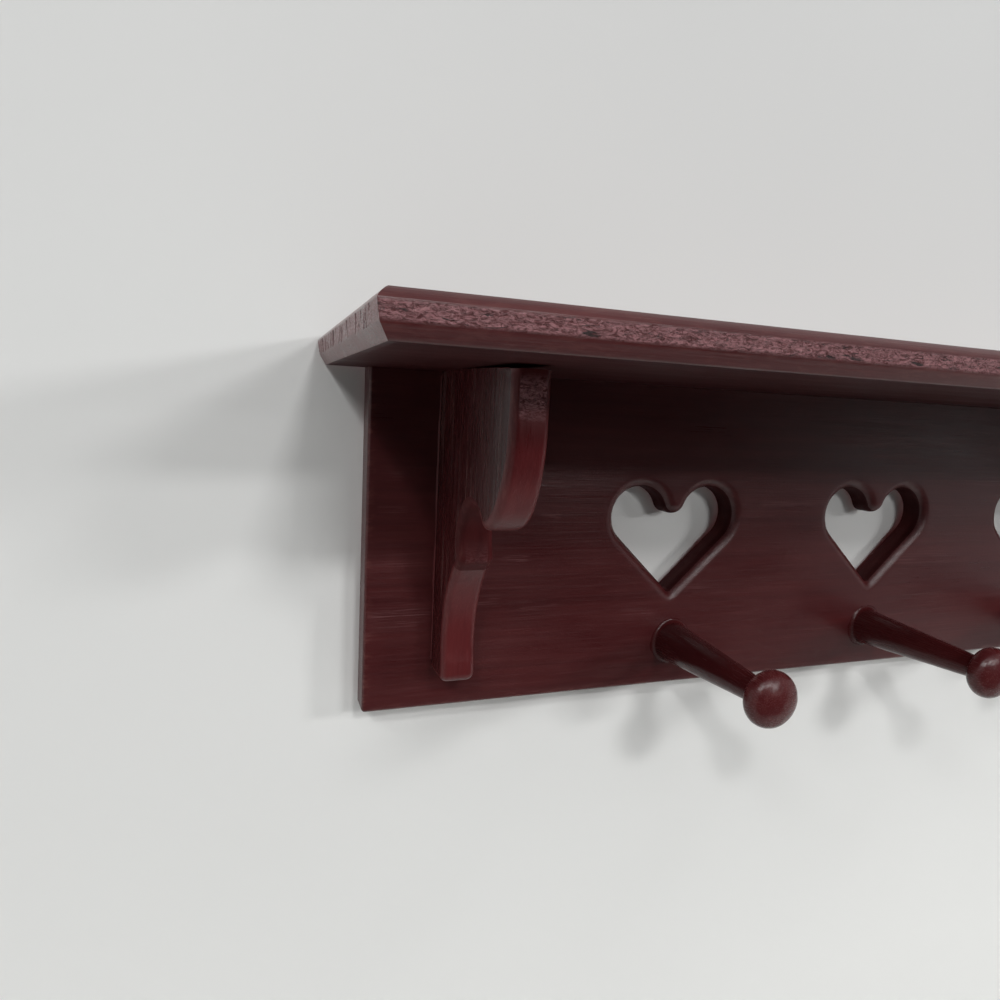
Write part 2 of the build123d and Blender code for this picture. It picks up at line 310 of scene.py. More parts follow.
def bracket_outline(reach, height, step=0.9):
    """Side view: first coordinate forward of the rail, second up from the shelf joint."""
    cove = np.array([reach - COVE_SETBACK, -COVE_DROP])
    front = np.array([reach - LOBE_FRONT_RADIUS, -FRONT_DROP])
    to_join = np.array([cos(LOBE_TURN), -sin(LOBE_TURN)])
    nose = front + LOBE_FRONT_RADIUS * to_join - NOSE_RADIUS * to_join
    crest = cove + COVE_RADIUS * np.array([cos(CREST_ANGLE), sin(CREST_ANGLE)])
    waist = (WAIST_SHARE * crest[0], -WAIST_DROP)
    foot_x, foot_y = FOOT_SHARE * crest[0], FOOT_LENGTH - height
    tail, tail_radius = circle_through(crest, waist, (foot_x, foot_y))
    round_cove = COVE_RADIUS + CORNER_RADIUS
    near_nose = circles_meet(
        nose, NOSE_RADIUS - CORNER_RADIUS, cove, round_cove, NOSE_CORNER_NEAR
    )
    near_crest = circles_meet(
        cove, round_cove, tail, tail_radius + CORNER_RADIUS, crest - (4, 0)
    )
    foot = np.array([foot_x - CORNER_RADIUS, CORNER_RADIUS - height])
    outline = Outline()
    outline.add(run((0, 0), (reach - 5, 0), 2.0), (0, 0))
    outline.add(run((reach, 0), (reach, -FRONT_DROP), 1.2), (1, 0))
    outline.add(*arc(front, LOBE_FRONT_RADIUS, 0, -LOBE_TURN, step))
    nose_end = angle_to(nose, near_nose)
    outline.add(*arc(nose, NOSE_RADIUS, -LOBE_TURN, nose_end, step))
    turn_end = angle_to(near_nose, cove)
    if turn_end > nose_end:
        turn_end -= 2 * pi
    outline.add(*arc(near_nose, CORNER_RADIUS, nose_end, turn_end, step / 2))
    hollow_from = angle_to(cove, near_nose)
    hollow_to = (angle_to(cove, near_crest) + 2 * pi) % (2 * pi)
    points, out = arc(cove, COVE_RADIUS, hollow_from, hollow_to, step)
    outline.add(points, -out)
    crest_from = angle_to(near_crest, cove)
    crest_to = angle_to(near_crest, tail)
    outline.add(*arc(near_crest, CORNER_RADIUS, crest_from, crest_to, step / 2))
    tail_from = angle_to(tail, near_crest) % (2 * pi)
    tail_to = angle_to(tail, (foot_x, foot_y)) % (2 * pi)
    points, out = arc(tail, tail_radius, tail_from, tail_to, step)
    outline.add(points, -out)
    outline.add(run((foot_x, foot_y), (foot_x, foot[1]), 1.2), (1, 0))
    outline.add(*arc(foot, CORNER_RADIUS, 0, -pi / 2, step / 2))
    outline.add(run((foot[0], -height), (0, -height), 1.5), (0, -1))
    outline.add(run((0, -height + 5), (0, -2), 2.0), (0, 0))
    return outline.closed()


# ---------------------------------------------------------------- shells


def inside(points, loop):
    """Which points lie inside a closed loop."""
    a, b = loop, np.roll(loop, -1, 0)
    x, y = points[:, :1], points[:, 1:]
    spans = (a[:, 1] > y) != (b[:, 1] > y)
    rise = np.where(b[:, 1] == a[:, 1], NO_RISE, b[:, 1] - a[:, 1])
    cross = a[:, 0] + (y - a[:, 1]) * (b[:, 0] - a[:, 0]) / rise
    return ((x < cross) & spans).sum(1) % 2 == 1


class Shell:
    """Gathers points, their marks and faces, and becomes one closed mesh.

    coat is the coat of paint in use: one number, or one for each face of a strip."""

    def __init__(self):
        self.points, self.faces, self.coats = [], [], []
        self.marks = {"wear": [], "raw": [], "lap": [], "slot": []}
        self.coat = 0

    def ring(self, points, wear=0.0, raw=0.0):
        start = len(self.points)
        self.points.extend(np.asarray(points, float).tolist())
        for name, value in (("wear", wear), ("raw", raw), ("lap", 0.0), ("slot", 0.0)):
            self.marks[name].extend(np.broadcast_to(value, len(points)).tolist())
        return np.arange(start, start + len(points))

    def add_faces(self, faces):
        """Adds faces in the coat of paint that is in use."""
        self.faces.extend(faces)
        self.coats.extend(np.broadcast_to(self.coat, len(faces)).tolist())

    def strip(self, a, b):
        """Faces all round between two rings with the same number of points."""
        corners = np.stack([a, np.roll(a, -1), np.roll(b, -1), b], 1)
        self.add_faces(corners.tolist())

    def strips(self, rings):
        for a, b in zip(rings, rings[1:]):
            self.strip(a, b)

    def fan(self, loop, centre):
        """Triangles from a ring to one point in its middle."""
        middle = np.broadcast_to(self.ring([centre]), len(loop))
        self.add_faces(np.stack([loop, np.roll(loop, -1), middle], 1).tolist())

    def bead(self, path, first, second, sizes):
        """A small ridge of paint along a joint, between the two directions given."""
        first, second = np.array(first, float), np.array(second, float)
        turns = np.linspace(0, pi / 2, BEAD_STEPS)
        ways = [cos(t) ** BEAD_POWER * first + sin(t) ** BEAD_POWER * second for t in turns]
        rings = []
        for point, size in zip(path, sizes):
            root = point - BEAD_ROOT * (first + second)
            rings.append(self.ring([root, *(point + size * way for way in ways)]))
        self.strips(rings)
        for end in (0, -1):
            self.fan(rings[end], np.mean([self.points[i] for i in rings[end]], 0))

    def fill(self, outer, holes, axes, step):
        """Faces over the flat area between loops of points, with a grid of points in it.

        axes are the two that the area spans. It lies as deep along the third as the outer loop."""
        loops = [outer] + holes
        places = np.array(self.points)
        flats = [places[loop][:, axes] for loop in loops]
        low, high = flats[0].min(0), flats[0].max(0)
        counts = [max(2, int((high[k] - low[k]) / step[k])) for k in (0, 1)]
        xs = np.linspace(low[0], high[0], counts[0] + 1)[1:-1]
        ys = np.linspace(low[1], high[1], counts[1] + 1)[1:-1]
        grid = np.stack(np.meshgrid(xs, ys), -1).reshape(-1, 2)
        shift = step[0] / 2 * (np.arange(len(grid)) // len(xs) % 2)
        grid[:, 0] += shift - step[0] / 4
        keep = inside(grid, flats[0])
        for hole in flats[1:]:
            keep &= ~inside(grid, hole)
        for flat in flats:
            for chunk in np.array_split(np.arange(len(grid)), GRID_CHUNKS):
                gaps = np.linalg.norm(grid[chunk, None] - flat[None], axis=2).min(1)
                keep[chunk] &= gaps > GRID_MARGIN * min(step)
        grid = grid[keep]
        filled = np.tile(places[outer[0]], (len(grid), 1))
        filled[:, axes] = grid
        ids = np.concatenate(loops + [self.ring(filled)])
        flat = np.concatenate(flats + [grid])
        edges, start = [], 0
        for loop in loops:
            n = len(loop)
            edges += [(start + i, start + (i + 1) % n) for i in range(n)]
            start += n
        corners = [Vector(p) for p in flat.tolist()]
        made = delaunay_2d_cdt(corners, edges, [], INSIDE_ONLY, DELAUNAY_EPSILON)
        faces, origins = made[2], made[3]
        triangles = np.array([[origins[v][0] for v in face] for face in faces])
        middles = flat[triangles].mean(1)
        keep = np.ones(len(triangles), bool)
        for hole in flats[1:]:
            keep &= ~inside(middles, hole)
        self.add_faces(ids[triangles[keep]].tolist())

    def piece(self, name, materials, relief, replaces, slot, sharp=40):
        """The finished piece; relief(points, outwards, marks) says how far in each point goes."""
        mesh = bpy.data.meshes.new(name)
        points = np.array(self.points)
        mesh.from_pydata(points.tolist(), [], self.faces)
        work = bmesh.new()
        work.from_mesh(mesh)
        bmesh.ops.recalc_face_normals(work, faces=work.faces)
        work.to_mesh(mesh)
        work.free()
        normals = np.zeros(len(points) * 3)
        mesh.vertex_normals.foreach_get("vector", normals)
        normals = normals.reshape(-1, 3)
        marks = {k: np.array(v) for k, v in self.marks.items()}
        depth = relief(points, normals, marks)
        points = (points - normals * depth[:, None]) * MM
        mesh.vertices.foreach_set("co", points.ravel())
        for key, values in marks.items():
            mesh.attributes.new(key, "FLOAT", "POINT").data.foreach_set("value", values)
        mesh.polygons.foreach_set("use_smooth", [True] * len(mesh.polygons))
        mesh.set_sharp_from_angle(angle=radians(sharp))
        for material in materials:
            mesh.materials.append(material)
        mesh.polygons.foreach_set("material_index", self.coats)
        mesh.update()
        piece = bpy.data.objects.new(name, mesh)
        bpy.context.scene.collection.objects.link(piece)
        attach(piece, "root")
        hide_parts(*replaces)
        return piece


def quarter(radius, steps):
    """(inset, sink) pairs round an arris, from the face it leaves to the face it meets."""
    angles = np.linspace(0, pi / 2, steps)
    return [(radius * (1 - sin(a)), radius * (1 - cos(a))) for a in angles]


# ---------------------------------------------------------------- materials


def colour(r, g, b):
    return (r, g, b, 1.0)


THICK_PAINT = colour(0.055, 0.0075, 0.0085)
THIN_PAINT = colour(0.074, 0.0125, 0.013)
GRAIN_LINE = colour(0.040, 0.0052, 0.0062)
BRUSH_LINE = colour(0.095, 0.020, 0.022)
RUBBED_EDGE = colour(0.125, 0.040, 0.036)
# torn grain is paler, partly its own colour and partly painted glints on it
TORN_GRAIN_AND_GLINT = colour(0.31, 0.145, 0.155)
# cracks and saw slots are painted near black, as painted shade in them
CRACK_SHADE = colour(0.014, 0.004, 0.004)
SAW_SLOT_SHADE = colour(0.012, 0.004, 0.004)
LAP_MARK_AND_GLINT = colour(0.155, 0.062, 0.064)
SAW_TOOTH = colour(0.115, 0.048, 0.046)
PAINT_SHIFT = (0.31, 0.17, 0.23)
PAINT_IOR = 1.5

ZINC = (0.62, 0.61, 0.57)
PLAIN_STEEL = (0.50, 0.49, 0.47)
DULL_SHARE = 0.62
STEEL_SHIFT = (0.11, 0.07, 0.05)
METALLIC = 0.6

# the wall's colour at the bottom and at the top: it darkens upwards as painted shade
WALL_LOW_LIT = colour(0.92, 0.925, 0.905)
WALL_HIGH_SHADE = colour(0.65, 0.655, 0.65)
FLOOR_DARK, FLOOR_PALE = colour(0.54, 0.54, 0.53), colour(0.60, 0.60, 0.59)
CLOTH_DARK, CLOTH_PALE = colour(0.02, 0.02, 0.02), colour(0.05, 0.05, 0.05)
SKY = colour(0.97, 0.99, 1.0)


class Nodes:
    """Small helper to write a node tree in few lines."""

    # sockets of the Mix node when it mixes colours
    FACTOR, COLOUR_A, COLOUR_B, MIXED = 0, 6, 7, 2

    def __init__(self, name):
        self.material = bpy.data.materials.new(name)
        self.material.use_nodes = True
        self.tree = self.material.node_tree
        self.tree.nodes.clear()

    def new(self, kind, values=None, **settings):
        """A node. values go to its inputs: outputs of other nodes are linked, others written."""
        node = self.tree.nodes.new("ShaderNode" + kind)
        for key, value in settings.items():
            setattr(node, key, value)
        for key, value in (values or {}).items():
            if isinstance(value, bpy.types.NodeSocket):
                self.tree.links.new(value, node.inputs[key])
            else:
                node.inputs[key].default_value = value
        return node

    def where(self):
        return self.new("TexCoord").outputs["Object"]

    def shifted(self, shift, seed):
        """The object's own coordinates, moved on by the seed so that no two coats match."""
        moved = tuple(part * seed for part in shift)
        return self.new("Mapping", {"Vector": self.where(), "Location": moved}).outputs[0]

    def mark(self, name):
        return self.new("Attribute", attribute_name=name).outputs["Fac"]

    def noise(self, where, scale, detail=2.0, roughness=0.5, distortion=0.0):
        mapped = self.new("Mapping", {"Vector": where, "Scale": scale})
        values = {
            "Vector": mapped.outputs[0],
            "Scale": 1.0,
            "Detail": detail,
            "Roughness": roughness,
            "Distortion": distortion,
        }
        return self.new("TexNoise", values).outputs["Fac"]

    def math(self, operation, first, *others):
        """The operation over everything that is given, from left to right."""
        for other in others:
            first = self.new("Math", {0: first, 1: other}, operation=operation).outputs[0]
        return first

    def span(self, value, low, high, to_low=0.0, to_high=1.0):
        values = {
            "Value": value,
            "From Min": low,
            "From Max": high,
            "To Min": to_low,
            "To Max": to_high,
        }
        return self.new("MapRange", values).outputs["Result"]

    def mix(self, factor, a, b, blend="MIX"):
        values = {self.FACTOR: factor, self.COLOUR_A: a, self.COLOUR_B: b}
        return self.new("Mix", values, data_type="RGBA", blend_type=blend).outputs[self.MIXED]

    def bump(self, height, strength, distance, normal=None):
        values = {"Height": height, "Strength": strength, "Distance": distance}
        if normal is not None:
            values["Normal"] = normal
        return self.new("Bump", values).outputs[0]

    def output(self, shader):
        self.new("OutputMaterial", {"Surface": shader.outputs[0]})
        return self.material


def painted(name, along, seed, saw=0.0, streak=1.0, gloss=0.34, shine=0.5, tint=1.0):
    """Brushed dark red paint over wood, with the grain along the axis that is named.

    saw is how strongly upright saw lines show, and streak how strongly the brush does. gloss is
    the roughness, and shine how much the coat mirrors. tint scales the colour: above 1 it is
    painted light and below 1 painted shade, so coats with other tints are lit and shaded copies."""
    n = Nodes(name)
    place = n.shifted(PAINT_SHIFT, seed)
    axis = "XYZ".index(along)

    def stretched(long, across):
        """Waves per metre along and across the grain."""
        scale = [across] * 3
        scale[axis] = long
        return tuple(scale)

    # the coat: thick and thin places, lines over the grain and pale lines of the brush
    grain = n.noise(place, stretched(9, 260), detail=5.0, roughness=0.62, distortion=0.5)
    fine = n.noise(place, stretched(40, 1700), detail=3.0, roughness=0.6)
    blotch = n.noise(place, stretched(14, 40), detail=3.0, roughness=0.55)
    peel = n.noise(place, (900, 900, 900))
    tone = n.mix(n.span(blotch, 0.3, 0.7), THICK_PAINT, THIN_PAINT)
    ridges = n.math("MULTIPLY", n.span(grain, 0.38, 0.66), 0.5 * streak)
    tone = n.mix(ridges, tone, GRAIN_LINE)
    glaze = n.math("MULTIPLY", n.span(fine, 0.55, 0.75), 0.35 * streak)
    tone = n.mix(glaze, tone, BRUSH_LINE)

    # what the mesh marks: worn arrises; torn grain, painted pale partly as painted glints, with
    # its cracks painted near black as painted shade; saw slots, also painted near black as painted
    # shade; and lap marks, painted lighter partly as painted glints
    wear, raw, slot, lap = (n.mark(key) for key in ("wear", "raw", "slot", "lap"))
    chips = n.noise(place, stretched(120, 500), detail=4.0, roughness=0.7)
    rubbed = n.math("MULTIPLY", wear, n.span(chips, 0.50, 0.62), 0.6)
    tone = n.mix(rubbed, tone, RUBBED_EDGE)
    splinter = n.noise(place, (420, 800, 1000), detail=4.0, roughness=0.7, distortion=1.5)
    # torn grain painted paler, partly as painted glints
    scar_and_glint = n.math("MULTIPLY", raw, n.span(splinter, 0.40, 0.58), 0.85)
    tone = n.mix(scar_and_glint, tone, TORN_GRAIN_AND_GLINT)
    split = n.noise(place, stretched(110, 620), detail=3.0, roughness=0.6, distortion=1.2)
    # painted shade: cracks and saw slots are painted near black
    cracks = n.math("MULTIPLY", raw, n.span(split, 0.33, 0.40, 1.0, 0.0))
    tone = n.mix(cracks, tone, CRACK_SHADE)
    tone = n.mix(slot, tone, SAW_SLOT_SHADE)
    # lap marks are painted lighter: partly the brush's marks, partly painted glints on their
    # ridges
    bristles = n.noise(place, stretched(26, 1200), detail=3.0, roughness=0.7)
    lap_and_glint = n.math("MULTIPLY", lap, n.span(bristles, 0.50, 0.62), 0.7)
    tone = n.mix(lap_and_glint, tone, LAP_MARK_AND_GLINT)

    uneven = n.span(blotch, 0.25, 0.75, gloss - 0.05, gloss + 0.07)
    streaked = n.span(fine, 0.3, 0.7, -0.05, 0.06)
    torn, sunk = n.math("MULTIPLY", raw, 0.05), n.math("MULTIPLY", slot, 0.4)
    rough = n.math("ADD", uneven, streaked, torn, sunk)
    normal = n.bump(grain, strength=0.35 * streak, distance=0.0004)
    if saw:
        upright_lines = n.noise(place, (420, 420, 6), detail=4.0, roughness=0.7)
        normal = n.bump(upright_lines, strength=0.35 * saw, distance=0.0004, normal=normal)
        teeth = n.span(n.noise(place, (280, 280, 12), detail=3.0, roughness=0.6), 0.54, 0.60)
        patch = n.span(n.noise(place, (60, 60, 22)), 0.42, 0.60)
        tone = n.mix(n.math("MULTIPLY", teeth, patch, saw), tone, SAW_TOOTH)
    normal = n.bump(fine, strength=0.30 * streak, distance=0.0002, normal=normal)
    normal = n.bump(peel, strength=0.10, distance=0.0002, normal=normal)
    torn_up = n.math("MULTIPLY", raw, splinter)
    normal = n.bump(torn_up, strength=0.9, distance=0.0009, normal=normal)
    values = {
        "Base Color": n.mix(1.0, tone, colour(tint, tint, tint), "MULTIPLY"),
        "Roughness": rough,
        "Normal": normal,
        "IOR": PAINT_IOR,
        "Specular IOR Level": shine,
    }
    return n.output(n.new("BsdfPrincipled", values))


def steel(name, seed, tint, gloss, swirl=0.0):
    """Plated or plain steel with fine scratches and dull patches."""
    n = Nodes(name)
    place = n.shifted(STEEL_SHIFT, seed)
    scratch = n.noise(place, (300, 4000, 900), detail=3.0, roughness=0.6, distortion=swirl)
    patch = n.noise(place, (160, 160, 160), detail=3.0, roughness=0.6)
    dull = tuple(DULL_SHARE * v for v in tint)
    patched = n.span(patch, 0.3, 0.7, gloss, gloss + 0.15)
    values = {
        "Base Color": n.mix(n.span(patch, 0.35, 0.7), colour(*tint), colour(*dull)),
        "Roughness": n.math("ADD", patched, n.span(scratch, 0.3, 0.7, -0.05, 0.06)),
        "Normal": n.bump(scratch, strength=0.25, distance=0.0001),
        "Metallic": METALLIC,
    }
    return n.output(n.new("BsdfPrincipled", values))


def brushed(amount, wavelengths, seed):
    """Slow unevenness of hand-brushed paint, always inwards from the true surface."""

    def relief(points):
        slow = noise_at(points, wavelengths, seed)
        quick = noise_at(points, [w / 3 for w in wavelengths], seed + 7)
        return amount * np.clip(0.5 + 0.45 * slow + 0.2 * quick, 0, 1)

    return relief


# ---------------------------------------------------------------- rail


def rail_outline(step=2.5, corner_step=0.5):
    """Front view in x and z. The top, where the shelf sits, has no way outwards: no offset."""
    left, right = rail_low[0], rail_high[0]
    bottom, top = rail_low[2], rail_high[2]
    r = RAIL_CORNER
    outline = Outline()
    outline.add(run((left, top), (left, bottom + r), step), (-1, 0))
    outline.add(*arc((left + r, bottom + r), r, pi, 1.5 * pi, corner_step))
    outline.add(run((left + r, bottom), (right - r, bottom), step), (0, -1))
    outline.add(*arc((right - r, bottom + r), r, -pi / 2, 0, corner_step))
    outline.add(run((right, bottom + r), (right, top), step), (1, 0))
    outline.add(run((right - 3, top), (left + 3, top), 2.9), (0, 0))
    return outline.closed()


def upright(flat, y):
    """Points given in x and z, stood up at depth y."""
    return np.stack([flat[:, 0], np.full(len(flat), y), flat[:, 1]], 1)


def back_well(shell, outline, depth, floor_hole=None, step=(3, 3)):
    """A sunk place in the rail's back. floor_hole is a second, deeper outline in its floor."""
    mouth = shell.ring(upright(outline.points, 0))
    floor = shell.ring(upright(outline.points, -depth))
    shell.strip(mouth, floor)
    holes = []
    if floor_hole is not None:
        inner, inner_depth = floor_hole
        rim = shell.ring(upright(inner.points, -depth))
        low = shell.ring(upright(inner.points, -inner_depth))
        shell.strip(rim, low)
        shell.fill(low, [], FLAT_XZ, step)
        holes = [rim]
    shell.fill(floor, holes, FLAT_XZ, step)
    return mouth


# Lap marks of the brush on the rail, painted lighter partly as painted glints: x, z, half length,
# half height, strength
LAPS = (
    (-274, -81, 13, 5.0, 1.0),
    (-280, -18, 6, 1.6, 0.7),
    (-279, -34, 6, 1.8, 0.8),
    (-275, -58, 13, 1.8, 0.5),
    (-203, -21, 5, 1.6, 1.0),
    (-203, -37, 5, 2.2, 0.9),
    (-221, -57, 7, 1.8, 1.0),
    (-236, -76, 9, 2.6, 0.7),
    (-212, -80, 14, 2.6, 0.6),
    (-116, -76, 20, 3.0, 0.4),
    (-152, -86, 9, 5.0, 0.4),
    (-58, -30, 24, 3.0, 0.4),
    (34, -64, 30, 4.0, 0.5),
    (96, -18, 26, 3.0, 0.5),
    (188, -84, 22, 5.0, 0.6),
    (262, -40, 14, 4.0, 0.6),
)


def lap_marks(points):
    """How strongly the brush's lap marks, painted lighter partly as painted glints, show at each
    point of the rail's face.
    """
    total = np.zeros(len(points))
    ragged = 1 + 0.35 * noise_at(points, (6, 30, 2.5), 41)
    for x, z, length, height, strength in LAPS:
        away = ((points[:, 0] - x) / length) ** 2 + ((points[:, 2] - z) / height) ** 2
        total += strength * np.clip(1.6 - away * ragged, 0, 1)
    return np.clip(total, 0, 1) * (points[:, 1] < rail_front + 0.5)


def bead_path(start, end, seed, size):
    """Points along a joint and the uneven size of the paint bead there."""
    path = run(start, end, 2.2)
    slow = noise_at(path, (9, 9, 14), seed)
    quick = noise_at(path, (2.5, 2.5, 3), seed + 1)
    return path, size * np.clip(0.8 + 0.5 * slow + 0.25 * quick, 0.25, 1.4)


def make_rail(materials):
    shell = Shell()
    outline = rail_outline()
    profile = [(inset, -sink) for inset, sink in quarter(RAIL_BACK_ARRIS, 5)]
    profile += [(0, -y) for y in np.linspace(2.5, -rail_front - RAIL_ARRIS - 1, 4)]
    profile += [(inset, rail_front + sink) for inset, sink in reversed(quarter(RAIL_ARRIS, 7))]
    edge = outline.out.any(1)
    rings = []
    worn_at, worn_spread = rail_front + 0.4, 0.9
    for inset, y in profile:
        wear = edge * np.exp(-(((y - worn_at) / worn_spread) ** 2))
        rings.append(shell.ring(upright(outline.inset(inset), y), wear))
    shell.strips(rings)
    back, front = rings[0], rings[-1]
    front_holes, back_holes = [], []
    for step in TRIO.values():
        heart = heart_outline((step * HEART_PITCH, rail_top - HEART_DROP))
        profile = [(inset, rail_front + sink) for inset, sink in quarter(HEART_ROUND, HEART_RINGS)]
        profile += [(0, y) for y in (-4.8, -2.6, -0.9, 0.0)]
        nicks = 0.14 * np.clip(-heart.out[:, 0] * heart.out[:, 1], 0, 0.5) / 0.5
        rings = []
        for k, (inset, y) in enumerate(profile):
            place = upright(heart.inset(inset), y)
            rings.append(shell.ring(place, 0.3 * (k in HEART_WORN), nicks * (k in HEART_NICKED)))
        shell.strips(rings[: HEART_FACE_RINGS + 1])
        # the inside of the heart takes the matt coat, whose darker colour is painted shade
        shell.coat = RAIL_MATT_SHADE
        shell.strips(rings[HEART_FACE_RINGS:])
        shell.coat = RAIL_FACE
        front_holes.append(rings[0])
        back_holes.append(rings[-1])
    for side in PAIR.values():
        middle = (side * HANGER_X, HANGER_MIDDLE)
        recess = stadium_outline(middle, HANGER_LENGTH, HANGER_WIDTH)
        pocket = stadium_outline(middle, POCKET_LENGTH, POCKET_WIDTH)
        back_holes.append(back_well(shell, recess, HANGER_RECESS, (pocket, POCKET_DEPTH)))
        for drop in SCREW_DROPS:
            hole = circle_outline((side * bracket_x, rail_top - drop), SCREW_HOLE)
            back_holes.append(back_well(shell, hole, SCREW_HOLE_DEPTH))
    shell.fill(front, front_holes, FLAT_XZ, (2.6, 2.4))
    shell.fill(back, back_holes, FLAT_XZ, (6, 6))
    inner, under = bracket_x - bracket_half, shelf_low[2]
    ends = (-inner, rail_front, under), (inner, rail_front, under)
    path, sizes = bead_path(*ends, 51, RAIL_BEAD)
    # the bead under the shelf takes the same matt coat, painted darker as painted shade
    shell.coat = RAIL_MATT_SHADE
    shell.bead(path, (0, -1, 0), (0, 0, -1), sizes)
    shell.marks["lap"] = lap_marks(np.array(shell.points)).tolist()
    paint = brushed(BOARD_UNEVEN, (60, 20, 9), 1)

    def relief(points, outwards, marks):
        return paint(points) * (points[:, 1] < -1)

    return shell.piece("rail_painted", materials, relief, ["back_rail"], "rail_paint")


# ---------------------------------------------------------------- shelf


def shelf_outline(step=0.8):
    """Top view in x and y. Both front corners are mitred, and the back edge is plain."""
    left, right = shelf_low[0], shelf_high[0]
    front, back = shelf_low[1], shelf_high[1]
    outline = Outline()
    for end, x in ((-1, left), (1, right)):
        if end == 1:
            points = run((left, front), (right, front), step)
            outline.add(points, np.stack([points[:, 0] / right, np.full(len(points), -1.0)], 1))
        points = run((x, back), (x, front), step)[::-end]
        outline.add(points, np.stack([np.full(len(points), end), -points[:, 1] / front], 1))
    outline.add(run((right - 5, back), (left + 5, back), 4.0), (0, 0))
    return outline.closed()


def shelf_profile():
    """(inset, height above the underside, rawness) up the moulded edge."""
    top = shelf_high[2] - shelf_low[2]
    band_top = top - SHELF_ROUND
    band_foot = band_top - BAND_HEIGHT
    rows = []
    for t in np.linspace(0, 1, 9):
        rows.append((BEVEL_DEPTH - t * (BEVEL_DEPTH - BAND_LEAN), t * band_foot, 0.0))
    for t in np.linspace(0, 1, 22)[1:]:
        raw = min(1.0, 7 * t, 7 * (1 - t))
        rows.append((BAND_LEAN * (1 - t), band_foot + t * BAND_HEIGHT, raw))
    for a in np.linspace(0, pi / 2, 14)[1:]:
        inset = SHELF_ROUND * (1 - max(cos(a), 0) ** SHELF_ROUND_POWER)
        rows.append((inset, band_top + SHELF_ROUND * sin(a) ** SHELF_ROUND_POWER, 0.0))
    return rows


def level(flat, z):
    """Points given in x and y, laid at height z."""
    return np.stack([flat[:, 0], flat[:, 1], np.full(len(flat), z)], 1)


def soften(rows, passes):
    """Eases the corners of a profile a little."""
    rows = np.array(rows, float)
    for _ in range(passes):
        rows[1:-1, :2] = 0.5 * rows[1:-1, :2] + 0.25 * (rows[:-2, :2] + rows[2:, :2])
    return rows


def make_shelf(materials):
    shell = Shell()
    outline = shelf_outline()
    edge = outline.out.any(1)
    on_end = np.abs(outline.points[:, 0]) > shelf_high[0] - 0.1
    rough_share = edge * np.where(on_end, 0.35, 1.0)
    rings = []
    for inset, height, raw in soften(shelf_profile(), passes=2):
        place = level(outline.inset(inset), shelf_low[2] + height)
        rings.append(shell.ring(place, wear=0.4 * edge * (1 - raw), raw=raw * rough_share))
    # painted reflection: the ends take a much lighter copy of the paint, standing in for the wall
    # mirrored at grazing angles
    shell.coat = np.where(on_end & np.roll(on_end, -1), BOARD_END_LIT, BOARD)
    shell.strips(rings)
    shell.coat = BOARD
    top_holes = []
    spots = [(step * SHELF_SCREW_PITCH, rail_front / 2) for step in TRIO.values()]
    spots += [(side * bracket_x, rail_front - SHELF_SCREW_FORWARD) for side in PAIR.values()]
    top, hole_floor = shelf_high[2], shelf_high[2] - PLUG_HOLE_DEPTH
    for spot in spots:
        hole = circle_outline(spot, PLUG_HOLE)
        mouth = shell.ring(level(hole.points, top))
        floor = shell.ring(level(hole.points, hole_floor))
        shell.strip(mouth, floor)
        shell.fan(floor, (*spot, hole_floor))
        top_holes.append(mouth)
    # painted shade: the underside takes a darker copy of the paint
    shell.coat = UNDERSIDE_SHADE
    shell.fill(rings[0], [], FLAT_XY, (3.2, 2.6))
    shell.coat = TOP_FACE
    shell.fill(rings[-1], top_holes, FLAT_XY, (4, 4))
    places = np.array(shell.points)
    leant = places + places[:, 2:] * (0, 0.9, 0)
    slots = np.clip(5 * noise_at(leant, (40, 1.5, 7.0), 14) - 1.3, 0, 1)
    sawn_end = np.abs(places[:, 0]) > shelf_high[0] - 1.0
    slots *= sawn_end & (np.array(shell.marks["raw"]) > 0.1)
    shell.marks["slot"] = slots.tolist()
    # the underside's lighter streaks along the board are partly brush marks and partly painted
    # reflection
    streaks = np.clip(0.2 + 1.1 * noise_at(places, (70, 5, 9), 15), 0, 0.6)
    shell.marks["lap"] = (streaks * (places[:, 2] < shelf_low[2] + 0.01)).tolist()
    paint = brushed(BOARD_UNEVEN, (50, 50, 12), 3)

    def relief(points, outwards, marks):
        slant = points.copy()
        slant[:, 0] = points[:, 0] + points[:, 1] + 0.9 * points[:, 2]
        slant[:, 1] = 0
        tear = noise_at(slant, (3.4, 9, 0.8), 11)
        fleck = noise_at(points, (1.2, 1.2, 0.6), 12)
        patch = noise_at(slant, (26, 9, 30), 13)
        torn = np.clip(0.5 + 0.6 * tear + 0.4 * fleck, 0, 1) * np.clip(0.85 + 0.4 * patch, 0.4, 1)
        return paint(points) + SHELF_TORN * marks["raw"] * torn + SHELF_SLOT * marks["slot"]

    return shell.piece("shelf_painted", materials, relief, ["shelf_board"], "shelf_paint", 60)


# ---------------------------------------------------------------- brackets


